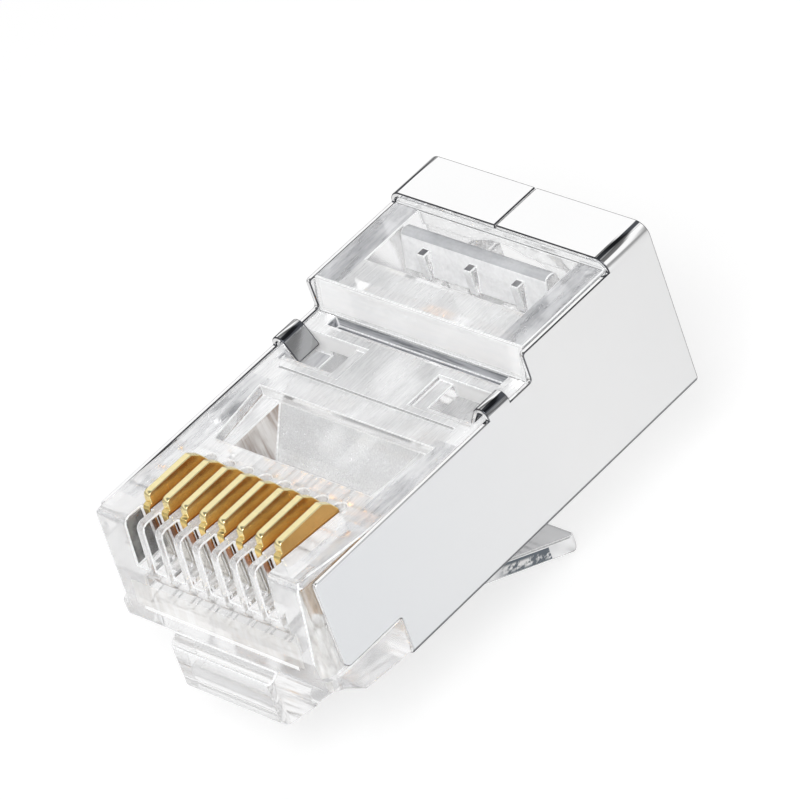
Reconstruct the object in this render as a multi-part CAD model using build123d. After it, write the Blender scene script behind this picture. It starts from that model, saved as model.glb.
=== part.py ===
from build123d import *
import math
import os

# A shielded eight-contact modular plug, before it is crimped onto its cable.
# The nose points along -Y, the cable leaves along +Y and the contact side is up.
# The origin is the middle of the nose's front edge, level with the shield's underside.
# Every size is in millimetres.

# Contacts and their slots
contact_count = 8
contact_pitch = 1.02
contact_thickness = 0.35
contact_top_z = 7.01
contact_front_y = 1.34
contact_rear_y = 4.69
contact_tip_z = 3.65
contact_shoulder_z = 6.5
contact_crown_front_y = 1.6
contact_crown_rear_y = 4.06
contact_corner = 0.2
prong_count = 3
prong_width = 0.72
prong_height = 1.0
prong_point = 0.35
crimp_travel = 0.95
contact_side_gap = 0.02
contact_end_gap = 0.03
finger_slot_width = 0.6
finger_slot_floor_z = 4.3
scallop_radius = 0.3

# Shield: one bent sheet
shield_width = 11.8
sheet = 0.22
shield_front_y = 0.98
shield_rear_reach = 0.15
shield_nose_top_z = 6.2
shield_step_y = 13.62
shield_block_top_z = 7.54
shield_top_z = 8.11
flap_length = 2.36
flap_seam = 0.09
flap_bend_radius = 0.6
floor_bend_radius = 0.35
notch_y = 4.15
notch_z = 1.97
tongue_corner = 0.3
notch_corner = 0.15
hook_front_y = 11.1
hook_rear_y = 12.35
hook_bend_radius = 0.41
hook_rise = 0.05
hook_wrap_deg = 150
hook_tail = 0.95

# Housing: one clear moulding
fit_gap = 0.03
nose_top_z = 6.5
nose_lean = 0.42
nose_corner = 0.85
nose_top_round = 0.35
chin_z = 1.45
chin_knee_y = 0.55
chin_knee_z = 1.3
deck_start_y = 5.2
deck_z = 6.12
shoulder_round = 0.42
block_lean = 0.34
block_top_z = 7.6
housing_rear_y = 21.2
foot_width = 11.7
foot_rear_gap = 0.05
foot_corner = 0.6
foot_knee_y = 1.5
foot_knee_z = 0.5

# Wire recess behind the contacts
recess_front_y = 5.9
recess_rear_y = 9.05
recess_front_width = 8.5
recess_rear_width = 9.48
recess_ledge_z = 5.6
recess_ledge = 0.92
recess_floor_z = 3.4
recess_floor_rear_y = 7.5
recess_floor_width = 7.0

# Hook pockets, cross slot and the deck's crease
pocket_inner_x = 2.65
pocket_frame_x = 1.95
pocket_frame_margin = 0.35
pocket_frame_depth = 0.22
pocket_depth = 1.05
pocket_wall = 0.38
pocket_margin = 0.12
cross_slot_front_y = 13.02
cross_slot_rear_y = 13.55
cross_slot_half = 4.7
cross_slot_depth = 0.5
crease_y = 10.24
crease_size = 0.04

# Wire tray under the contacts, cable chamber and cable bore
tray_front_y = 1.0
tray_floor_z = 2.34
tray_roof_z = 3.38
tray_side_margin = 0.52
tray_ridge_width = 0.12
tray_ridge_height = 0.3
tray_ridge_rear_y = 5.4
duct_front_y = 6.0
duct_floor_z = 2.0
duct_roof_z = 3.5
duct_flare_y = 8.7
chamber_front_y = 10.3
chamber_rear_wall = 2.3
chamber_half = 4.3
chamber_floor_z = 0.95
chamber_roof_z = 5.25
attic_lead = 0.85
attic_roof_z = 6.95
bore_radius = 3.2
bore_z = 4.05

# Window and strain relief bar
window_half = 4.3
window_length = 3.2
window_rear_wall = 2.45
bar_half = 3.95
bar_top_inset = 1.15
bar_top_rise = 0.02
bar_foot_front = 0.65
bar_foot_rear = 0.6
bar_foot_z = 6.15
bar_crown = 0.28
web_thickness = 0.22
web_gap = 0.04
nub_spacing = 2.54
nub_width = 0.42
nub_reach = 0.82
nub_top_z = 7.38

# Latch: root block on the housing, and the lever
root_half = 2.8
root_front_y = -0.52
root_top_z = 1.15
root_bottom_z = -0.95
root_rear_y = 1.3
root_corner = 0.3
root_rear_bottom_z = -1.3
hinge_y = 1.45
hinge_z = -0.82
hinge_radius = 0.42
hinge_gap = 0.02
shoulder_half = 3.05
shoulder_y = 9.3
shoulder_top_z = -1.42
shoulder_bottom_z = -2.5
shoulder_taper_y = 5.5
lever_half = 1.62
lever_start_y = 7.4
lever_end_y = 16.4
lever_slope = 0.458
lever_thickness = 0.85
lever_end_round = 0.4
grip_start_y = 10.9
grip_end_y = 15.05
grip_count = 8
grip_half = 1.32
grip_depth = 0.62
grip_tooth = 0.3

# Sizes that follow from the ones above
shield_half = shield_width / 2
inner_half = shield_half - sheet
housing_half = inner_half - fit_gap
foot_half = foot_width / 2
housing_floor_z = sheet + fit_gap
foot_rear_y = notch_y - foot_rear_gap
seat_top_z = shield_top_z - sheet - fit_gap
flap_front_y = housing_rear_y - flap_length
shield_rear_y = housing_rear_y + shield_rear_reach
chamber_rear_y = housing_rear_y - chamber_rear_wall
window_rear_y = housing_rear_y - window_rear_wall
window_front_y = window_rear_y - window_length
attic_front_y = window_front_y - attic_lead
bar_top_y = window_rear_y - bar_top_inset
bar_top_z = seat_top_z + bar_top_rise
bar_foot_front_y = bar_top_y - bar_foot_front
bar_foot_rear_y = bar_top_y + bar_foot_rear
nub_front_y = bar_top_y - nub_reach
finger_slot_end_y = contact_front_y + contact_end_gap
blade_slot_width = contact_thickness + 2 * contact_side_gap
blade_slot_floor_z = contact_tip_z - crimp_travel - contact_end_gap
lever_end_top_z = shoulder_top_z - 0.78 - (lever_end_y - shoulder_y) * lever_slope
overshoot = 2.0


def outline(corners):
    """A flat face from (u, v) corners; a third number rounds that corner."""
    face = make_face(Polyline(*[corner[:2] for corner in corners], close=True))
    for corner in corners:
        if len(corner) == 3:
            vertex = face.vertices().sort_by_distance(Vector(corner[0], corner[1], 0))[0]
            face = fillet(vertex, corner[2])
    return face


def along_x(face, half_width):
    """A face drawn as (y, z), carried to both sides of the middle plane."""
    return extrude(Plane.YZ * face, half_width, both=True)


def along_y(face, front_y, rear_y):
    """A face drawn as (x, z), carried from front_y to rear_y."""
    return extrude(Plane.XZ.offset(-rear_y) * face, rear_y - front_y)


def along_z(face, low_z, high_z):
    """A face drawn as (x, y), carried from low_z to high_z."""
    return extrude(Pos(0, 0, low_z) * face, high_z - low_z)


def block(x_range, y_range, z_range):
    """A box between two limits on each axis."""
    middle = [(low + high) / 2 for low, high in (x_range, y_range, z_range)]
    size = [high - low for low, high in (x_range, y_range, z_range)]
    return Pos(*middle) * Box(*size)


def contact_x(index):
    return (index - (contact_count - 1) / 2) * contact_pitch


def contact_blade(x):
    """One stamped blade: a crown that stands proud, two shoulders and pointed prongs."""
    step = (contact_rear_y - contact_front_y - prong_width) / (prong_count - 1)
    root_z = contact_tip_z + prong_height
    corners = [
        (contact_front_y, contact_shoulder_z - 0.1),
        (contact_front_y + 0.08, contact_shoulder_z + 0.04),
        (contact_crown_front_y - 0.04, contact_shoulder_z + 0.06),
        (contact_crown_front_y, contact_top_z, contact_corner),
        (contact_crown_rear_y, contact_top_z),
        (contact_rear_y - 0.25, contact_shoulder_z + 0.2),
        (contact_rear_y, contact_shoulder_z - 0.22),
    ]
    for prong in reversed(range(prong_count)):
        near_y = contact_front_y + prong * step
        corners += [
            (near_y + prong_width, contact_tip_z + prong_point),
            (near_y + prong_width / 2, contact_tip_z),
            (near_y, contact_tip_z + prong_point),
        ]
        if prong > 0:
            corners += [(near_y, root_z), (near_y - step + prong_width, root_z)]
    return Pos(x, 0, 0) * along_x(outline(corners), contact_thickness / 2)


def shield_hook():
    """The tab on the +X side: it rises from the side panel, bends over and points down."""
    middle_radius = hook_bend_radius - sheet / 2
    start = Vector(shield_half - sheet / 2, shield_nose_top_z - 0.3, 0)
    bend_start = Vector(start.X, shield_nose_top_z + hook_rise, 0)
    wrap = math.radians(hook_wrap_deg)
    centre = bend_start - Vector(middle_radius, 0, 0)
    tip_direction = Vector(-math.sin(wrap), math.cos(wrap), 0)
    bend_end = centre + Vector(math.cos(wrap), math.sin(wrap), 0) * middle_radius
    bend_middle = centre + Vector(math.cos(wrap / 2), math.sin(wrap / 2), 0) * middle_radius
    path = [
        Line(start, bend_start),
        ThreePointArc(bend_start, bend_middle, bend_end),
        Line(bend_end, bend_end + tip_direction * hook_tail),
    ]
    strip = trace(path, line_width=sheet)
    return along_y(strip, hook_front_y, hook_rear_y)


def shield_sheet():
    """The bent sheet: a square tube in section, cut to its side outline."""
    width, height = shield_width, shield_top_z
    outer = outline([
        (-shield_half, 0, floor_bend_radius),
        (shield_half, 0, floor_bend_radius),
        (shield_half, height, flap_bend_radius),
        (-shield_half, height, flap_bend_radius),
    ])
    inner = outline([
        (-inner_half, sheet, floor_bend_radius - sheet),
        (inner_half, sheet, floor_bend_radius - sheet),
        (inner_half, height - sheet, flap_bend_radius - sheet),
        (-inner_half, height - sheet, flap_bend_radius - sheet),
    ])
    tube = along_y(outer - inner, shield_front_y, shield_rear_y)
    side_outline = outline([
        (shield_front_y, notch_z, tongue_corner),
        (shield_front_y, shield_nose_top_z, notch_corner),
        (shield_step_y, shield_nose_top_z, notch_corner),
        (shield_step_y, shield_block_top_z, notch_corner),
        (flap_front_y, shield_block_top_z),
        (flap_front_y, height + overshoot),
        (shield_rear_y + overshoot, height + overshoot),
        (shield_rear_y + overshoot, -overshoot),
        (notch_y, -overshoot),
        (notch_y, notch_z, notch_corner),
    ])
    sheet_body = tube & along_x(side_outline, width)
    seam = block(
        (-flap_seam / 2, flap_seam / 2),
        (flap_front_y - overshoot, shield_rear_y + overshoot),
        (height - sheet - overshoot / 2, height + overshoot),
    )
    hook = shield_hook()
    return (sheet_body - seam) + hook + mirror(hook, about=Plane.YZ)


def housing_blank():
    """The moulding's outside: side outline and plan outline in one, with its foot and root."""
    side = outline([
        (0, chin_z),
        (nose_lean, nose_top_z, nose_top_round),
        (deck_start_y, deck_z),
        (shield_step_y - fit_gap, deck_z),
        (shield_step_y - fit_gap + block_lean, block_top_z),
        (flap_front_y, block_top_z),
        (flap_front_y, seat_top_z),
        (housing_rear_y, seat_top_z),
        (housing_rear_y, housing_floor_z),
        (foot_rear_y, housing_floor_z),
        (foot_knee_y, foot_knee_z),
        (chin_knee_y, chin_knee_z),
    ])
    plan = outline([
        (-housing_half, 0, nose_corner),
        (housing_half, 0, nose_corner),
        (housing_half, housing_rear_y),
        (-housing_half, housing_rear_y),
    ])
    section = outline([
        (-housing_half, housing_floor_z, floor_bend_radius - sheet),
        (housing_half, housing_floor_z, floor_bend_radius - sheet),
        (housing_half, seat_top_z, flap_bend_radius - sheet),
        (-housing_half, seat_top_z, flap_bend_radius - sheet),
    ])
    blank = along_x(side, housing_half) & along_z(plan, -overshoot, shield_top_z)
    blank &= along_y(section, -overshoot, housing_rear_y + overshoot)
    shoulder_x = housing_half - shoulder_round
    shoulder_z = nose_top_z - shoulder_round
    for sign in (-1, 1):
        corner = block(
            sorted((sign * shoulder_x, sign * (housing_half + overshoot))),
            (-overshoot, deck_start_y),
            (shoulder_z, nose_top_z + overshoot),
        )
        arc = Pos(sign * shoulder_x, 0, shoulder_z) * Rot(90, 0, 0) * Cylinder(
            shoulder_round, 4 * deck_start_y
        )
        blank -= corner - arc
    foot_top_z = notch_z - foot_rear_gap
    foot_side = outline([
        (0, chin_z),
        (nose_lean * (foot_top_z - chin_z) / (nose_top_z - chin_z), foot_top_z),
        (foot_rear_y, foot_top_z),
        (foot_rear_y, housing_floor_z),
        (foot_knee_y, foot_knee_z),
        (chin_knee_y, chin_knee_z),
    ])
    foot_plan = outline([
        (-foot_half, 0, foot_corner),
        (foot_half, 0, foot_corner),
        (foot_half, foot_rear_y),
        (-foot_half, foot_rear_y),
    ])
    foot = along_x(foot_side, foot_half) & along_z(foot_plan, -overshoot, notch_z)
    root = outline([
        (root_front_y, root_top_z),
        (0, chin_z),
        (root_rear_y, chin_z),
        (root_rear_y, (hinge_z + root_rear_bottom_z) / 2),
        (root_rear_y - 0.12, root_rear_bottom_z),
        (root_front_y - 0.02, root_bottom_z, root_corner),
    ])
    root_plan = outline([
        (-root_half, root_front_y - 0.02, root_corner),
        (root_half, root_front_y - 0.02, root_corner),
        (root_half, root_rear_y),
        (-root_half, root_rear_y),
    ])
    root_block = along_x(root, root_half) & along_z(root_plan, -overshoot, overshoot)
    root_seat = Pos(0, hinge_y, hinge_z) * Rot(0, 90, 0) * Cylinder(
        hinge_radius + hinge_gap, 4 * root_half
    )
    return blank + foot + (root_block - root_seat)


def contact_slots():
    """Everything that the eight contacts need: finger slots, blade slots and scallops."""
    cuts = []
    for index in range(contact_count):
        x = contact_x(index)
        finger = (x - finger_slot_width / 2, x + finger_slot_width / 2)
        blade = (x - blade_slot_width / 2, x + blade_slot_width / 2)
        cuts.append(block(
            finger, (-overshoot, finger_slot_end_y), (finger_slot_floor_z, nose_top_z + overshoot)
        ))
        cuts.append(block(
            blade,
            (contact_front_y - contact_end_gap, contact_rear_y + contact_end_gap),
            (blade_slot_floor_z, nose_top_z + overshoot),
        ))
        cuts.append(
            Pos(x, contact_rear_y + scallop_radius / 2, nose_top_z) * Cylinder(scallop_radius, 1.5)
        )
    return cuts


def wire_tray():
    """The flat tray that takes the eight wires side by side, with a low ridge between each two."""
    tray_half = contact_x(contact_count - 1) + tray_side_margin
    tray = block((-tray_half, tray_half), (tray_front_y, duct_front_y + 0.1), (tray_floor_z, tray_roof_z))
    for index in range(contact_count - 1):
        x = contact_x(index) + contact_pitch / 2
        tray -= block(
            (x - tray_ridge_width / 2, x + tray_ridge_width / 2),
            (tray_front_y - 0.1, tray_ridge_rear_y),
            (tray_floor_z - 0.1, tray_floor_z + tray_ridge_height),
        )
    return [tray]


def wire_recess():
    """The open recess behind the contacts: a wide mouth, a ledge and a sloping rear wall."""
    mouth = outline([
        (-recess_front_width / 2, recess_front_y),
        (recess_front_width / 2, recess_front_y),
        (recess_rear_width / 2, recess_rear_y),
        (-recess_rear_width / 2, recess_rear_y),
    ])
    inset = outline([
        (-recess_front_width / 2 + recess_ledge / 2, recess_front_y),
        (recess_front_width / 2 - recess_ledge / 2, recess_front_y),
        (recess_rear_width / 2 - recess_ledge, recess_rear_y),
        (-recess_rear_width / 2 + recess_ledge, recess_rear_y),
    ])
    floor = outline([
        (-recess_floor_width / 2, recess_front_y),
        (recess_floor_width / 2, recess_front_y),
        (recess_floor_width / 2, recess_floor_rear_y),
        (-recess_floor_width / 2, recess_floor_rear_y),
    ])
    well = loft([Pos(0, 0, recess_ledge_z) * inset, Pos(0, 0, recess_floor_z) * floor])
    return [along_z(mouth, recess_ledge_z, nose_top_z + overshoot), well]


def cable_space():
    """The wire duct, its flare, the cable chamber, the space under the window and the bore."""
    duct = outline([
        (duct_front_y, duct_floor_z),
        (duct_front_y, duct_roof_z),
        (duct_flare_y, duct_roof_z),
        (chamber_front_y, chamber_roof_z),
        (attic_front_y, chamber_roof_z),
        (attic_front_y, attic_roof_z),
        (chamber_rear_y, attic_roof_z),
        (chamber_rear_y, chamber_floor_z),
        (duct_flare_y - 1, chamber_floor_z),
    ])
    window = block(
        (-window_half, window_half),
        (window_front_y, window_rear_y),
        (attic_roof_z - 0.5, block_top_z + overshoot),
    )
    bore_length = housing_rear_y - chamber_rear_y + 1.0
    bore = (
        Pos(0, chamber_rear_y - 0.2 + bore_length / 2, bore_z)
        * Rot(90, 0, 0)
        * Cylinder(bore_radius, bore_length)
    )
    return [along_x(duct, chamber_half), window, bore]


def deck_details():
    """The stepped pockets that take the shield's hooks, the cross slot and the deck's crease."""
    front_y = hook_front_y - pocket_margin
    rear_y = hook_rear_y + pocket_margin
    pocket_outer_x = housing_half - pocket_wall
    cuts = []
    for sign in (-1, 1):
        frame_x = sorted((sign * pocket_frame_x, sign * pocket_outer_x))
        inner_x = sorted((sign * pocket_inner_x, sign * pocket_outer_x))
        cuts.append(block(
            frame_x,
            (front_y - pocket_frame_margin, rear_y),
            (deck_z - pocket_frame_depth, deck_z + overshoot),
        ))
        cuts.append(block(inner_x, (front_y, rear_y), (deck_z - pocket_depth, deck_z + overshoot)))
    cuts.append(block(
        (-cross_slot_half, cross_slot_half),
        (cross_slot_front_y, cross_slot_rear_y),
        (deck_z - cross_slot_depth, deck_z + 0.01),
    ))
    crease = outline([
        (crease_y - crease_size, deck_z + 0.01),
        (crease_y + crease_size, deck_z + 0.01),
        (crease_y, deck_z - crease_size),
    ])
    cuts.append(along_x(crease, recess_rear_width / 2))
    return cuts


def housing_body():
    body = housing_blank()
    for cut in contact_slots() + wire_tray() + wire_recess() + cable_space() + deck_details():
        body -= cut
    return body


def latch_lever():
    """The release lever: a wide root with two shoulders, a narrow arm and a gripped end."""
    root_line_z = hinge_z + hinge_radius
    wide = outline([
        (hinge_y, root_line_z),
        (shoulder_y, shoulder_top_z),
        (shoulder_y, shoulder_bottom_z, 0.15),
        (hinge_y, hinge_z - hinge_radius),
    ])
    wide_plan = outline([
        (-root_half, hinge_y - overshoot),
        (root_half, hinge_y - overshoot),
        (root_half, hinge_y),
        (shoulder_half, shoulder_taper_y),
        (shoulder_half, shoulder_y),
        (-shoulder_half, shoulder_y),
        (-shoulder_half, shoulder_taper_y),
        (-root_half, hinge_y),
    ])
    knuckle = Pos(0, hinge_y, hinge_z) * Rot(0, 90, 0) * Cylinder(hinge_radius, 2 * root_half)
    start_top_z = lever_end_top_z + (lever_end_y - lever_start_y) * lever_slope
    arm = outline([
        (lever_start_y, start_top_z - 0.1),
        (lever_end_y, lever_end_top_z, 0.12),
        (lever_end_y - 0.08, lever_end_top_z - lever_thickness + 0.08, 0.3),
        (lever_start_y + 0.6, start_top_z - 0.6 * lever_slope - lever_thickness),
    ])
    lever = (along_x(wide, shoulder_half) & along_z(wide_plan, -20, 10)) + knuckle
    arm_plan = outline([
        (-lever_half, lever_start_y - overshoot),
        (lever_half, lever_start_y - overshoot),
        (lever_half, lever_end_y, lever_end_round),
        (-lever_half, lever_end_y, lever_end_round),
    ])
    lever += along_x(arm, lever_half) & along_z(arm_plan, -20, 10)
    return lever - grip_pocket()


def grip_pocket():
    """A toothed pocket cored out of the lever's underside, near its end."""
    def under_z(y):
        return lever_end_top_z + (lever_end_y - y) * lever_slope - lever_thickness

    step = (grip_end_y - grip_start_y) / grip_count
    corners = [(grip_end_y, under_z(grip_end_y) - overshoot)]
    corners.append((grip_start_y, under_z(grip_start_y) - overshoot))
    for tooth in range(grip_count):
        near_y = grip_start_y + tooth * step
        corners.append((near_y, under_z(near_y) + grip_depth))
        corners.append((near_y + step / 2, under_z(near_y + step / 2) + grip_depth - grip_tooth))
    corners.append((grip_end_y, under_z(grip_end_y) + grip_depth))
    return along_x(outline(corners), grip_half)


def strain_relief_bar():
    """The clamp bar: a wedge with a rounded crown, three nubs and the thin web that holds it."""
    wedge = outline([
        (bar_foot_front_y, bar_foot_z),
        (bar_top_y - bar_crown, bar_top_z - 0.05, bar_crown),
        (bar_top_y + bar_crown, bar_top_z - 0.1, bar_crown),
        (bar_foot_rear_y, bar_foot_z),
    ])
    web = block(
        (-bar_half, bar_half),
        (bar_foot_front_y + 0.5, window_rear_y - web_gap),
        (bar_foot_z, bar_foot_z + web_thickness),
    )
    bar = along_x(wedge, bar_half) + web
    for index in (-1, 0, 1):
        x = index * nub_spacing
        bar += block(
            (x - nub_width / 2, x + nub_width / 2), (nub_front_y, bar_top_y), (bar_foot_z, nub_top_z)
        )
    return bar


pieces = {
    "housing": housing_body(),
    "shield": shield_sheet(),
    "latch_lever": latch_lever(),
    "strain_relief_bar": strain_relief_bar(),
}
for number in range(contact_count):
    pieces[f"contact_{number + 1}"] = contact_blade(contact_x(number))

os.makedirs("parts", exist_ok=True)
for name, solid in pieces.items():
    export_step(solid, f"parts/{name}.step")
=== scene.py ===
import math
from collections import namedtuple

import bpy
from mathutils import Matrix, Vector


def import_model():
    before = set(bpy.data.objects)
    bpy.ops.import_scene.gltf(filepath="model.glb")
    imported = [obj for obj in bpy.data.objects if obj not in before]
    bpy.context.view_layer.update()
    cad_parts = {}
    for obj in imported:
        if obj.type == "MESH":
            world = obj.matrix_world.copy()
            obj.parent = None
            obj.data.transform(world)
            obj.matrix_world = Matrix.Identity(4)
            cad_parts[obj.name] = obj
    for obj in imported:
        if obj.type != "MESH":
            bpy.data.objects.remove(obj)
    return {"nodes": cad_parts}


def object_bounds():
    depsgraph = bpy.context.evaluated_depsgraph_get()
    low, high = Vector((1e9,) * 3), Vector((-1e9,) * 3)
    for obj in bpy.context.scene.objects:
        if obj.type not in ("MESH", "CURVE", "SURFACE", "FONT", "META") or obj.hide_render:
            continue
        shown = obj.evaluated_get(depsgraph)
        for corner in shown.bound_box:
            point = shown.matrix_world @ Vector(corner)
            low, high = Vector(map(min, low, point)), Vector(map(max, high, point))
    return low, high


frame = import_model()
NODES = frame["nodes"]
cad_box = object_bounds()

MM = 0.001
X, Y, Z = range(3)


# Node helpers

def new_material(name):
    """An empty node material: the material, its tree and its output node."""
    material = bpy.data.materials.new(name)
    material.use_nodes = True
    tree = material.node_tree
    tree.nodes.clear()
    output = tree.nodes.new("ShaderNodeOutputMaterial")
    return material, tree, output


def math_node(tree, operation, a, b=None, clamp=False):
    """One math node on sockets or plain numbers."""
    node = tree.nodes.new("ShaderNodeMath")
    node.operation = operation
    node.use_clamp = clamp
    for index, value in enumerate((a, b)):
        if value is None:
            continue
        if isinstance(value, (int, float)):
            node.inputs[index].default_value = value
        else:
            tree.links.new(value, node.inputs[index])
    return node.outputs[0]


def plus(tree, a, b):
    return math_node(tree, "ADD", a, b)


def minus(tree, a, b, clamp=False):
    return math_node(tree, "SUBTRACT", a, b, clamp)


def times(tree, first, *others):
    """The product, which for masks is the place where all of them hold."""
    for other in others:
        first = math_node(tree, "MULTIPLY", first, other)
    return first


def larger(tree, a, b):
    return math_node(tree, "MAXIMUM", a, b)


def absolute(tree, value):
    return math_node(tree, "ABSOLUTE", value)


def above(tree, value, limit):
    """1 where the value is over the limit, and 0 elsewhere."""
    return math_node(tree, "GREATER_THAN", value, limit)


def below(tree, value, limit):
    """1 where the value is under the limit, and 0 elsewhere."""
    return math_node(tree, "LESS_THAN", value, limit)


def ramp(tree, factor, stops):
    """A colour ramp over 0 to 1, from (position, grey or colour) stops."""
    node = tree.nodes.new("ShaderNodeValToRGB")
    elements = node.color_ramp.elements
    while len(elements) < len(stops):
        elements.new(0.5)
    for element, (position, colour) in zip(elements, stops):
        element.position = position
        if isinstance(colour, (int, float)):
            colour = (colour, colour, colour)
        element.color = (*colour, 1)
    tree.links.new(factor, node.inputs["Fac"])
    return node.outputs["Color"]


def graded(tree, value, stops):
    """A colour ramp over a value's own range, such as millimetres, from the first stop to the last."""
    low, high = stops[0][0], stops[-1][0]
    share = math_node(tree, "DIVIDE", minus(tree, value, low), high - low)
    return ramp(tree, share, [((stop - low) / (high - low), colour) for stop, colour in stops])


def stretched_noise(tree, scale, stretch, detail=3.0, rough=0.5):
    """Noise in the object's own millimetres, squeezed by a factor per axis."""
    coords = tree.nodes.new("ShaderNodeTexCoord")
    mapping = tree.nodes.new("ShaderNodeMapping")
    mapping.inputs["Scale"].default_value = [value / MM for value in stretch]
    tree.links.new(coords.outputs["Object"], mapping.inputs["Vector"])
    noise = tree.nodes.new("ShaderNodeTexNoise")
    noise.inputs["Scale"].default_value = scale
    noise.inputs["Detail"].default_value = detail
    noise.inputs["Roughness"].default_value = rough
    tree.links.new(mapping.outputs["Vector"], noise.inputs["Vector"])
    return noise.outputs["Fac"]


def bump(tree, height, strength, distance_mm):
    node = tree.nodes.new("ShaderNodeBump")
    node.inputs["Strength"].default_value = strength
    node.inputs["Distance"].default_value = distance_mm * MM
    tree.links.new(height, node.inputs["Height"])
    return node.outputs["Normal"]


def mix_shaders(tree, factor, first, second):
    mix = tree.nodes.new("ShaderNodeMixShader")
    tree.links.new(factor, mix.inputs[0])
    tree.links.new(first, mix.inputs[1])
    tree.links.new(second, mix.inputs[2])
    return mix.outputs[0]


def mix_colours(tree, factor, first, second):
    """Blends two colours, given as sockets or as plain colours."""
    blend = tree.nodes.new("ShaderNodeMix")
    blend.data_type = "RGBA"
    tree.links.new(factor, blend.inputs["Factor"])
    for index, colour in ((6, first), (7, second)):
        if isinstance(colour, tuple):
            blend.inputs[index].default_value = (*colour, 1)
        else:
            tree.links.new(colour, blend.inputs[index])
    return blend.outputs[2]


def object_place(tree):
    """The object's own x, y and z in millimetres."""
    coords = tree.nodes.new("ShaderNodeTexCoord")
    split = tree.nodes.new("ShaderNodeSeparateXYZ")
    tree.links.new(coords.outputs["Object"], split.inputs[0])
    return [math_node(tree, "MULTIPLY", output, 1 / MM) for output in split.outputs]


def face_normal(tree):
    """The x, y and z of the direction that the flat face looks in."""
    geometry = tree.nodes.new("ShaderNodeNewGeometry")
    split = tree.nodes.new("ShaderNodeSeparateXYZ")
    tree.links.new(geometry.outputs["True Normal"], split.inputs[0])
    return list(split.outputs)


def seen_from_outside(tree):
    """1 on a face that the ray meets from outside the plastic, and 0 from inside."""
    geometry = tree.nodes.new("ShaderNodeNewGeometry")
    return minus(tree, 1.0, geometry.outputs["Backfacing"])


def inside_box(tree, place, box):
    """1 where the absolute x, the y and the z all lie in the box's three ranges, in millimetres."""
    tests = []
    for value, (low, high) in zip((absolute(tree, place[X]), place[Y], place[Z]), box):
        tests.append(above(tree, value, low))
        tests.append(below(tree, value, high))
    return times(tree, *tests)


# Clear plastic

EVEN = (1.0, 1.0, 1.0)
LENGTHWISE = (4.0, 0.35, 4.0)
POLYCARBONATE_IOR = 1.49
FLOW_MARKS = dict(scale=0.9, stretch=(1.0, 0.35, 1.0), detail=4.0, rough=0.6)
VEIL_MARKS = dict(scale=3.5, detail=4.0, rough=0.7)
VEIL_SPREAD = (0.7, 1.3)
VEIL_COLOURS = ((0.93, 0.94, 0.955), (0.97, 0.975, 0.98))
UPWARD = 0.3
NOSE_CLEAR_TO_Y = 1.4
NOSE_VEILED_FROM_Y = 5.0


def polycarbonate(tree, roughness, wave):
    """The clear part of the plastic: slightly wavy, with faint flow marks."""
    shader = tree.nodes.new("ShaderNodeBsdfPrincipled")
    shader.inputs["Base Color"].default_value = (0.999, 0.999, 1.0, 1)
    shader.inputs["IOR"].default_value = POLYCARBONATE_IOR
    shader.inputs["Transmission Weight"].default_value = 1.0
    marks = stretched_noise(tree, **FLOW_MARKS)
    tree.links.new(ramp(tree, marks, [(0.3, roughness), (0.75, roughness * 2.2)]), shader.inputs["Roughness"])
    waves = stretched_noise(tree, 0.55, EVEN, detail=2.0)
    tree.links.new(bump(tree, waves, wave, distance_mm=0.05), shader.inputs["Normal"])
    return shader


def lay_veil(tree, output, clear, colour, amount):
    """Covers the clear plastic with a matt veil, which a ray inside the plastic doesn't meet."""
    milk = tree.nodes.new("ShaderNodeBsdfDiffuse")
    tree.links.new(colour, milk.inputs["Color"])
    amount = times(tree, amount, seen_from_outside(tree))
    tree.links.new(mix_shaders(tree, amount, clear.outputs[0], milk.outputs[0]), output.inputs["Surface"])


# A patch is a region with its own streaks, in most patches painted shade, painted reflections and painted
# highlights: three ranges in millimetres, x from the middle to both sides, the dark and light colour of its
# streaks, the veil's share, how its streaks stretch, and the axis along which its faces look, if one.
Patch = namedtuple("Patch", "x y z dark light veil streaks axis", defaults=(EVEN, None))


def clear_plastic(name, roughness, veil, wave, brush=LENGTHWISE, nose_veil=None, patches=()):
    """Clear polycarbonate with a thin white veil on faces that look up or forward, brushed along the plug;
    the veil is partly haze and partly painted sheen on the faces that the light falls on.

    nose_veil is the share of the veil that the nose keeps.
    """
    material, tree, output = new_material(name)
    clear = polycarbonate(tree, roughness, wave)
    place = object_place(tree)
    normal = face_normal(tree)
    marks = stretched_noise(tree, stretch=brush, **VEIL_MARKS)
    amount = ramp(tree, marks, [(0.3, veil * VEIL_SPREAD[0]), (0.7, veil * VEIL_SPREAD[1])])
    colour = ramp(tree, marks, [(0.3, VEIL_COLOURS[0]), (0.7, VEIL_COLOURS[1])])
    if nose_veil is not None:
        nose = graded(tree, place[Y], [(NOSE_CLEAR_TO_Y, nose_veil), (NOSE_VEILED_FROM_Y, 1.0)])
        amount = times(tree, amount, nose)
    # Keeping the veil to faces that look up or forward paints sheen on the faces that the light falls on.
    up_or_forward = larger(tree, normal[Z], times(tree, normal[Y], -1.0))
    amount = times(tree, amount, above(tree, up_or_forward, UPWARD))
    for patch in patches:
        mask = inside_box(tree, place, (patch.x, patch.y, patch.z))
        if patch.axis is not None:
            mask = times(tree, mask, above(tree, absolute(tree, normal[patch.axis]), 0.5))
        marks = stretched_noise(tree, 1.2, patch.streaks, rough=0.6)
        colour = mix_colours(tree, mask, colour, ramp(tree, marks, [(0.38, patch.dark), (0.62, patch.light)]))
        amount = larger(tree, amount, times(tree, mask, patch.veil))
    lay_veil(tree, output, clear, colour, amount)
    return material


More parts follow.
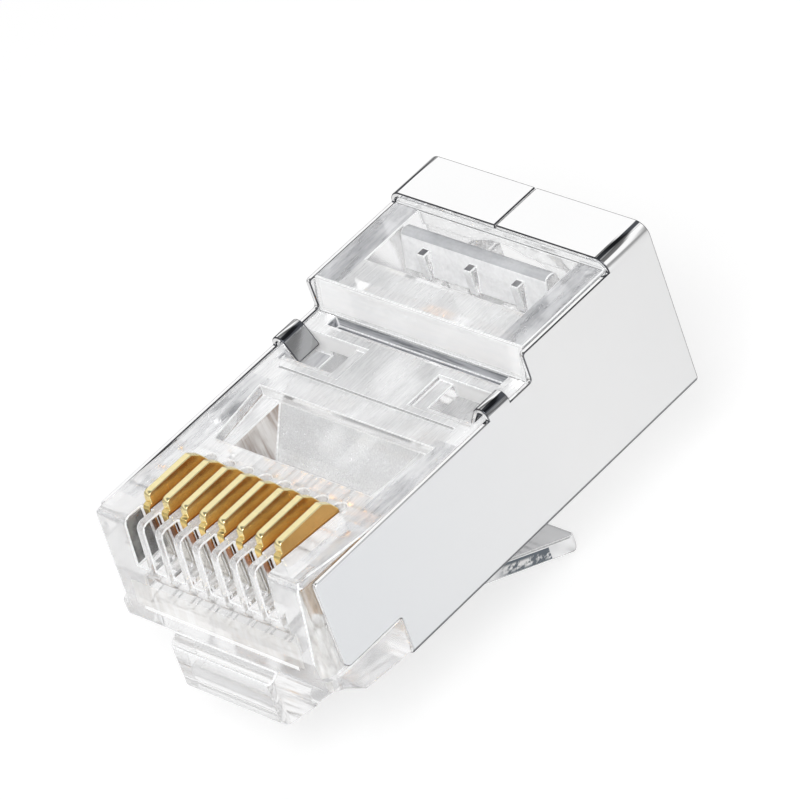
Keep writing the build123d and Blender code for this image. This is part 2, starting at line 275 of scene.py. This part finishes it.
HOUSING_PATCHES = {
    # Painted dark reflections, in grey streaks, on the walls and floor of the cross slot.
    "cross slot": Patch(
        x=(0.0, 4.72), y=(13.0, 13.58), z=(5.5, 6.09), streaks=(0.4, 5.0, 5.0),
        dark=(0.14, 0.15, 0.17), light=(0.55, 0.56, 0.59), veil=0.85,
    ),
    "rear walls of the hook pockets": Patch(
        x=(1.9, 5.5), y=(12.4, 12.9), z=(5.0, 6.1), axis=Y,
        dark=(0.98, 0.98, 0.98), light=(1.0, 1.0, 1.0), veil=0.85,
    ),
    # Painted shade, in grey streaks, on the floors of the hook pockets.
    "floors of the hook pockets": Patch(
        x=(2.6, 5.5), y=(10.9, 12.5), z=(5.0, 5.15), axis=Z, streaks=(4.0, 0.4, 1.0),
        dark=(0.34, 0.35, 0.38), light=(0.64, 0.65, 0.68), veil=0.6,
    ),
    # Painted reflection of the gold blades, in brown streaks, on the side walls of the wire recess.
    "side walls of the wire recess": Patch(
        x=(3.3, 4.9), y=(5.7, 9.2), z=(3.5, 5.7), axis=X, streaks=(0.3, 2.2, 0.3),
        dark=(0.28, 0.20, 0.15), light=(0.80, 0.77, 0.74), veil=0.68,
    ),
    # Painted shade, in grey streaks, on the frame beside the window.
    "frame beside the window": Patch(
        x=(4.36, 5.7), y=(14.0, 20.0), z=(7.3, 7.7), streaks=(3.0, 0.5, 3.0),
        dark=(0.28, 0.29, 0.31), light=(0.58, 0.59, 0.62), veil=0.5,
    ),
    # Painted shade, in grey streaks, on the top faces beside the slots and the recess.
    "top beside the slots and the recess": Patch(
        x=(4.5, 5.7), y=(-0.5, 9.5), z=(5.6, 6.4), axis=Z, streaks=(3.0, 0.5, 3.0),
        dark=(0.48, 0.49, 0.52), light=(0.84, 0.85, 0.87), veil=0.35,
    ),
    "front wall of the rear block": Patch(
        x=(0.0, 5.4), y=(11.0, 14.3), z=(6.3, 7.5), streaks=(0.3, 1.0, 4.0),
        dark=(0.95, 0.96, 0.97), light=(1.0, 1.0, 1.0), veil=0.65,
    ),
    "sides of the nose in front of the shield": Patch(
        x=(5.2, 5.7), y=(-0.5, 2.2), z=(1.2, 6.2), axis=X, streaks=(1.0, 3.0, 1.0),
        dark=(0.56, 0.55, 0.53), light=(0.90, 0.90, 0.89), veil=0.4,
    ),
    # Painted highlight: a white line along the step under the contact slots.
    "step under the contact slots": Patch(
        x=(0.0, 4.25), y=(-0.6, 1.2), z=(2.06, 2.24), axis=Y, streaks=(0.5, 1.0, 1.0),
        dark=(0.99, 0.99, 0.99), light=(1.0, 1.0, 1.0), veil=0.85,
    ),
    # Painted dark shade, near black, on the outer walls of the first and last contact slot, standing in for
    # the shield's dark inside seen through the wall.
    "outer walls of the first and last contact slot": Patch(
        x=(3.6, 4.1), y=(-0.3, 1.38), z=(3.9, 6.3), axis=X,
        dark=(0.05, 0.05, 0.05), light=(0.22, 0.22, 0.21), veil=0.75,
    ),
    "front of the nose at the wire tray": Patch(
        x=(0.0, 4.6), y=(-0.6, 1.2), z=(2.24, 3.4), axis=Y, streaks=(3.0, 1.0, 0.6),
        dark=(0.86, 0.83, 0.79), light=(0.97, 0.96, 0.95), veil=0.35,
    ),
}
BAR_PATCHES = {
    # Painted shade, in grey, on the bar's rounded top.
    "rounded top": Patch(
        x=(0.0, 5.0), y=(14.0, 20.0), z=(7.66, 8.2), streaks=(0.4, 0.4, 0.4),
        dark=(0.42, 0.43, 0.45), light=(0.56, 0.57, 0.59), veil=0.7,
    ),
    # Painted dark reflection on the tops of the nubs.
    "tops of the nubs": Patch(
        x=(0.0, 3.1), y=(16.5, 17.4), z=(7.33, 7.44), axis=Z,
        dark=(0.10, 0.10, 0.11), light=(0.20, 0.20, 0.21), veil=0.8,
    ),
}

# The lever's free end: where it starts, how far it drops per millimetre of length, the height of its
# middle line carried on to y = 0, and the place of the toothed pocket, over which painted dark shade and
# painted glints go on its sides.
LEVER_END_FROM_Y = 9.4
LEVER_DROP = 0.458
LEVER_MIDDLE_Z = 1.638
POCKET_FROM_Y = 11.8
POCKET_FADE = 0.8
POCKET_TO_Y = 14.85
POCKET_OVER_MIDDLE = 0.27
GLINTS_UNDER_MIDDLE = 0.07


def lever_plastic(name):
    """Clear polycarbonate whose end has a painted grey reflection on top, and painted dark shade with painted
    glints on its sides over the toothed pocket.
    """
    material, tree, output = new_material(name)
    clear = polycarbonate(tree, roughness=0.08, wave=0.04)
    place = object_place(tree)
    normal = face_normal(tree)
    end = above(tree, place[Y], LEVER_END_FROM_Y)
    top = times(tree, end, above(tree, normal[Z], 0.5))
    side = times(tree, end, above(tree, absolute(tree, normal[X]), 0.7))
    over_middle = plus(tree, place[Z], times(tree, place[Y], LEVER_DROP))
    over_middle = minus(tree, over_middle, LEVER_MIDDLE_Z)
    pocket = times(
        tree, side,
        graded(tree, place[Y], [(POCKET_FROM_Y, 0.0), (POCKET_FROM_Y + POCKET_FADE, 1.0)]),
        below(tree, place[Y], POCKET_TO_Y),
        below(tree, over_middle, POCKET_OVER_MIDDLE),
    )
    off_centre = absolute(tree, plus(tree, over_middle, GLINTS_UNDER_MIDDLE))
    painted_glints = ramp(tree, stretched_noise(tree, 4.0, (1.0, 1.0, 1.3)), [(0.44, 0.0), (0.60, 1.0)])
    painted_glints = times(tree, pocket, painted_glints, graded(tree, off_centre, [(0.12, 1.0), (0.24, 0.0)]))
    # Painted light: the grey top stands in for the shield's underside reflected in it, the dark for shade in
    # the pocket, the glints for highlights.
    colour = mix_colours(tree, top, (0.95, 0.955, 0.965), (0.42, 0.43, 0.45))
    colour = mix_colours(tree, pocket, colour, (0.09, 0.115, 0.14))
    colour = mix_colours(tree, painted_glints, colour, (0.9, 0.9, 0.9))
    amount = plus(tree, times(tree, top, 0.45), times(tree, side, 0.5))
    amount = plus(tree, amount, times(tree, pocket, 0.35))
    lay_veil(tree, output, clear, colour, plus(tree, amount, 0.06))
    return material


# Metal

SIDE_PANEL_X = 5.85
FLAP_BEND_FROM_Z = 7.0
HOOK_BOX = ((4.0, 6.0), (11.0, 12.5), (5.0, 7.2))
BEND_PAINTED_DARK = (0.07, 0.075, 0.085)
FRONT_PAINTED_SHADE = (0.885, 0.90, 0.92)
FRONT_PAINTED_SHADE_Y = (2.0, 15.0)
CLOUD_DULL = 0.99


def lay_metal(tree, output, colour, lines, roughness_stops, grain):
    """A metal of this colour, with its roughness and a fine relief both taken from the same lines."""
    shader = tree.nodes.new("ShaderNodeBsdfPrincipled")
    shader.inputs["Metallic"].default_value = 1.0
    tree.links.new(colour, shader.inputs["Base Color"])
    tree.links.new(ramp(tree, lines, roughness_stops), shader.inputs["Roughness"])
    tree.links.new(bump(tree, lines, grain, distance_mm=0.01), shader.inputs["Normal"])
    tree.links.new(shader.outputs[0], output.inputs["Surface"])


def plated_metal(name, colour, roughness, grain):
    """Bright plated sheet with a faint rolled grain along the plug, with painted dark reflections and shade
    on its bends and painted shade towards the front of its side panels.
    """
    material, tree, output = new_material(name)
    place = object_place(tree)
    normal = face_normal(tree)
    slant = absolute(tree, normal[X])
    faces_up = above(tree, normal[Z], UPWARD)
    faces_down = times(tree, normal[Z], -1.0)
    # Painted dark reflections and shade on the lower bends, the flap bends and the hook bends.
    lower_bend = graded(tree, faces_down, [(0.1, 0.0), (0.3, 1.0), (0.85, 1.0), (0.95, 0.0)])
    flap_bend = graded(tree, slant, [(0.1, 0.0), (0.16, 1.0), (0.4, 1.0), (0.5, 0.0)])
    flap_bend = times(tree, flap_bend, faces_up, above(tree, place[Z], FLAP_BEND_FROM_Z))
    hook_bend = graded(tree, slant, [(0.2, 0.0), (0.3, 1.0), (0.75, 1.0), (0.86, 0.6)])
    hook_bend = times(tree, hook_bend, faces_up, inside_box(tree, place, HOOK_BOX))
    bend = larger(tree, larger(tree, lower_bend, flap_bend), hook_bend)
    cloud = stretched_noise(tree, 0.35, EVEN)
    plate = ramp(tree, cloud, [(0.3, [level * CLOUD_DULL for level in colour]), (0.7, colour)])
    # Painted shade: the side panels darker and bluer towards the front.
    front = graded(tree, place[Y], [(FRONT_PAINTED_SHADE_Y[0], 1.0), (FRONT_PAINTED_SHADE_Y[1], 0.0)])
    front = times(tree, front, above(tree, absolute(tree, place[X]), SIDE_PANEL_X))
    plate = mix_colours(tree, front, plate, FRONT_PAINTED_SHADE)
    plate = mix_colours(tree, bend, plate, BEND_PAINTED_DARK)
    lines = stretched_noise(tree, 3.0, (6.0, 0.12, 6.0), detail=4.0, rough=0.65)
    lay_metal(tree, output, plate, lines, [(0.25, roughness * 0.8), (0.75, roughness * 1.25)], grain)
    return material


# A blade's colours by height above the shield's underside, from its nickel foot to its gold top, with painted
# shade in a dark red-brown band below the gold, sides painted lighter towards the top and painted cream
# highlights on the crown
NICKEL_FOOT = (0.86, 0.83, 0.78)
BLADE_SIDE = [
    (5.39, NICKEL_FOOT), (5.63, (0.42, 0.18, 0.07)), (6.15, (0.42, 0.17, 0.04)), (6.40, (0.26, 0.08, 0.015)),
    (6.60, (0.62, 0.27, 0.05)), (6.90, (1.0, 0.58, 0.14)), (7.12, (1.0, 0.80, 0.34)),
]
BLADE_CROWN = [
    (5.39, NICKEL_FOOT), (5.63, (0.36, 0.14, 0.05)), (6.09, (0.34, 0.12, 0.03)), (6.31, (0.85, 0.55, 0.20)),
    (6.47, (1.0, 0.74, 0.26)), (7.15, (1.0, 0.88, 0.50)),
]
# Painted shade on the blade side that faces +x at the end of the row, which has no blade beside it.
OPEN_SIDE_SHADE = (0.62, 0.36, 0.12)
OPEN_SIDE_SHADE_FROM_X = 3.7
UNEVEN_LIMIT = 0.3


def gold_plate(name):
    """Gold over the top of a nickel-plated blade, with painted shade darkening it towards its lower limit,
    painted highlights on its crown, and faint shear lines.
    """
    material, tree, output = new_material(name)
    place = object_place(tree)
    normal = face_normal(tree)
    cloud = stretched_noise(tree, 0.8, EVEN)
    height = plus(tree, place[Z], times(tree, cloud, UNEVEN_LIMIT))
    side = graded(tree, height, BLADE_SIDE)
    side = mix_colours(tree, above(tree, place[X], OPEN_SIDE_SHADE_FROM_X), side, OPEN_SIDE_SHADE)
    crown = graded(tree, height, BLADE_CROWN)
    rim = below(tree, absolute(tree, normal[X]), 0.95)
    colour = mix_colours(tree, rim, side, crown)
    lines = stretched_noise(tree, 2.2, (0.4, 3.0, 0.5))
    lay_metal(tree, output, colour, lines, [(0.3, 0.2), (0.75, 0.28)], grain=0.08)
    return material


# Soft edges: the moulded and sheared edges sharper than 30 degrees get a small radius, apart from a few tight
# corners

def edge_mask(name, spots, angle):
    """Marks the edges to soften: those sharper than the angle, apart from a ball round each spot."""
    group = bpy.data.node_groups.new(name, "GeometryNodeTree")
    group.interface.new_socket("Geometry", in_out="INPUT", socket_type="NodeSocketGeometry")
    group.interface.new_socket("Geometry", in_out="OUTPUT", socket_type="NodeSocketGeometry")
    link = group.links.new
    entry = group.nodes.new("NodeGroupInput")
    leave = group.nodes.new("NodeGroupOutput")
    store = group.nodes.new("GeometryNodeStoreNamedAttribute")
    store.data_type = "FLOAT"
    store.domain = "EDGE"
    store.inputs["Name"].default_value = "bevel_weight_edge"
    bend = group.nodes.new("GeometryNodeInputMeshEdgeAngle")
    place = group.nodes.new("GeometryNodeInputPosition")
    split = group.nodes.new("ShaderNodeSeparateXYZ")
    mirrored = group.nodes.new("ShaderNodeCombineXYZ")
    link(place.outputs[0], split.inputs[0])
    link(absolute(group, split.outputs[X]), mirrored.inputs[X])
    link(split.outputs[Y], mirrored.inputs[Y])
    link(split.outputs[Z], mirrored.inputs[Z])
    weight = above(group, bend.outputs[0], angle)
    for spot in spots:
        gap = group.nodes.new("ShaderNodeVectorMath")
        gap.operation = "DISTANCE"
        link(mirrored.outputs[0], gap.inputs[0])
        gap.inputs[1].default_value = (spot.x * MM, spot.y * MM, spot.z * MM)
        weight = times(group, weight, above(group, gap.outputs["Value"], spot.radius * MM))
    link(entry.outputs[0], store.inputs["Geometry"])
    link(weight, store.inputs["Value"])
    link(store.outputs[0], leave.inputs[0])
    return group


def soften(node, width_mm, spots, slot):
    """Rounds the sharp edges of a node; with spots, only those away from them."""
    sharp = math.radians(30)
    weld = node.modifiers.new("weld", "WELD")
    weld.merge_threshold = 0.0001 * MM
    if spots:
        mask = node.modifiers.new("mask", "NODES")
        mask.node_group = edge_mask(node.name + "_edges", spots, sharp)
    else:
        flat = node.modifiers.new("flat", "DECIMATE")
        flat.decimate_type = "DISSOLVE"
        flat.angle_limit = math.radians(0.5)
    bevel = node.modifiers.new("edges", "BEVEL")
    bevel.width = width_mm * MM
    bevel.segments = 2
    bevel.limit_method = "WEIGHT" if spots else "ANGLE"
    bevel.angle_limit = sharp
    bevel.use_clamp_overlap = False
    bevel.harden_normals = True
    bevel.loop_slide = False
    bevel.material = slot


# Finish of each piece

# A spot is a corner where three or more edges meet too tightly to be rounded, on both sides of the middle
Spot = namedtuple("Spot", "x y z radius")
HOUSING_SPOTS = [
    Spot(5.85, 4.1, 0.25, radius=0.6),
    Spot(5.7, 0.1, 1.47, radius=0.8),
    Spot(5.67, 5.2, 6.5, radius=0.3),
    Spot(5.65, 13.98, 7.84, radius=0.35),
]
LEVER_SPOTS = [Spot(2.82, 1.5, -0.4, radius=0.9)]

CLEAR = clear_plastic(
    "clear_polycarbonate", roughness=0.05, veil=0.32, wave=0.03,
    nose_veil=0.3, patches=HOUSING_PATCHES.values(),
)
# The white veil on the rounded plastic edges is a painted highlight along every edge.
CLEAR_EDGE_HIGHLIGHT = clear_plastic("edge_highlight", roughness=0.12, veil=0.75, wave=0.03)
CLEAR_SOFT = clear_plastic(
    "satin_polycarbonate", roughness=0.08, veil=0.8, wave=0.01,
    brush=(0.2, 0.2, 0.2), patches=BAR_PATCHES.values(),
)
CLEAR_LEVER = lever_plastic("lever_polycarbonate")
NICKEL = plated_metal("bright_nickel", (0.985, 0.985, 0.987), roughness=0.09, grain=0.05)
# Rough bare metal on the sheared edges, darkened to near black as a painted dark outline along the shield's
# edges.
SHEARED_DARK_OUTLINE = plated_metal("sheared_edge_dark_outline", (0.10, 0.10, 0.11), roughness=0.35, grain=0.2)
GOLD = gold_plate("gold_plate")

Finish = namedtuple("Finish", "surface edge edge_mm spots", defaults=((),))
FINISHES = {
    "housing": Finish(CLEAR, CLEAR_EDGE_HIGHLIGHT, 0.05, HOUSING_SPOTS),
    "latch_lever": Finish(CLEAR_LEVER, CLEAR_EDGE_HIGHLIGHT, 0.06, LEVER_SPOTS),
    "strain_relief_bar": Finish(CLEAR_SOFT, CLEAR_EDGE_HIGHLIGHT, 0.05),
    "shield": Finish(NICKEL, SHEARED_DARK_OUTLINE, 0.045),
}
CONTACT_FINISH = Finish(GOLD, None, 0.035)

for name, node in NODES.items():
    finish = FINISHES.get(name, CONTACT_FINISH)
    node.data.materials.clear()
    node.data.materials.append(finish.surface)
    edge_slot = -1
    if finish.edge is not None:
        node.data.materials.append(finish.edge)
        edge_slot = 1
    soften(node, finish.edge_mm, finish.spots, edge_slot)


# Floor, world and light

FLOOR_GAP = 0.173 * MM
FLOOR_SIZE = 6.0
FLOOR_GREY = (0.80, 0.80, 0.80, 1)
WHITE = (1, 1, 1, 1)

# How bright the world is by the height of the ray's direction, as a mirror and as clear plastic see it
MIRRORED_SKY = [
    (0.0, 0.5), (0.1, 0.3), (0.3, 0.4), (0.45, 1.0), (0.68, 1.0), (0.78, 0.15), (0.92, 0.15), (1.0, 0.6),
]
SKY_SEEN_THROUGH = [(0.0, 1.0), (0.1, 0.9), (0.3, 0.95), (0.5, 1.0)]
SKY_LIGHT = 0.62

KEY_PLACE = (135, -115, 175)
KEY_TARGET = (0, 9, 3)
KEY_SIZE = 70
KEY_POWER = 0.38


def background_node(tree, kind):
    """A plain white emission or background node."""
    node = tree.nodes.new(kind)
    node.inputs["Color"].default_value = WHITE
    return node


def floor():
    """A matt floor that the camera sees as white, with the object's shadow on it."""
    bpy.ops.mesh.primitive_plane_add(size=FLOOR_SIZE, location=(0, 0, cad_box[0][Z] - FLOOR_GAP))
    plane = bpy.context.object
    plane.name = "studio_floor"
    material, tree, output = new_material("studio_floor")
    path = tree.nodes.new("ShaderNodeLightPath")
    matt = tree.nodes.new("ShaderNodeBsdfDiffuse")
    matt.inputs["Color"].default_value = FLOOR_GREY
    white = background_node(tree, "ShaderNodeEmission")
    camera = path.outputs["Is Camera Ray"]
    tree.links.new(plus(tree, times(tree, camera, 0.3), 1.0), white.inputs["Strength"])
    through = times(tree, path.outputs["Is Transmission Ray"], 0.85)
    amount = larger(tree, times(tree, camera, 0.5), through)
    surface = mix_shaders(tree, amount, matt.outputs[0], white.outputs[0])
    tree.links.new(surface, output.inputs["Surface"])
    plane.data.materials.append(material)


def world():
    """An even white light; shiny and clear pieces also see a darker band above the floor's edge."""
    studio = bpy.data.worlds.new("studio")
    bpy.context.scene.world = studio
    studio.use_nodes = True
    tree = studio.node_tree
    tree.nodes.clear()
    output = tree.nodes.new("ShaderNodeOutputWorld")
    background = background_node(tree, "ShaderNodeBackground")
    path = tree.nodes.new("ShaderNodeLightPath")
    coords = tree.nodes.new("ShaderNodeTexCoord")
    split = tree.nodes.new("ShaderNodeSeparateXYZ")
    tree.links.new(coords.outputs["Generated"], split.inputs[0])
    clear = path.outputs["Is Transmission Ray"]
    glossy = minus(tree, path.outputs["Is Glossy Ray"], clear, clamp=True)
    other = minus(tree, 1.0, plus(tree, glossy, clear), clamp=True)
    plain = plus(tree, times(tree, path.outputs["Is Camera Ray"], 1.0 - SKY_LIGHT), SKY_LIGHT)
    mirrored = times(tree, ramp(tree, split.outputs[Z], MIRRORED_SKY), glossy)
    through = times(tree, ramp(tree, split.outputs[Z], SKY_SEEN_THROUGH), clear)
    strength = plus(tree, plus(tree, mirrored, through), times(tree, plain, other))
    tree.links.new(strength, background.inputs["Strength"])
    tree.links.new(background.outputs[0], output.inputs["Surface"])


def key_light():
    """A square lamp in front, above and to the right, which clear plastic doesn't show."""
    lamp = bpy.data.lights.new("key_light", "AREA")
    lamp.size = KEY_SIZE * MM
    lamp.energy = KEY_POWER
    holder = bpy.data.objects.new("key_light", lamp)
    bpy.context.scene.collection.objects.link(holder)
    holder.location = Vector(KEY_PLACE) * MM
    aim = Vector(KEY_TARGET) - Vector(KEY_PLACE)
    holder.rotation_euler = aim.to_track_quat("-Z", "Y").to_euler()
    holder.visible_transmission = False


floor()
world()
key_light()


# Camera and light paths

# Place in millimetres and turn in degrees, fitted to the photo
CAMERA_PLACE = (164.257, -104.215, 152.720)
CAMERA_TURN = (51.8824, 16.2494, 42.4029)
CAMERA_LENS = 290.25

camera_data = bpy.data.cameras.new("camera")
camera_data.sensor_width = 36.0
camera_data.lens = CAMERA_LENS
camera_data.clip_start = 0.01
camera_data.clip_end = 10.0
camera = bpy.data.objects.new("camera", camera_data)
bpy.context.scene.collection.objects.link(camera)
camera.location = Vector(CAMERA_PLACE) * MM
camera.rotation_euler = [math.radians(angle) for angle in CAMERA_TURN]
bpy.context.scene.camera = camera

bpy.context.scene.view_settings.view_transform = "Standard"
cycles = bpy.context.scene.cycles
cycles.max_bounces = 64
cycles.glossy_bounces = 64
cycles.transmission_bounces = 64
cycles.diffuse_bounces = 24
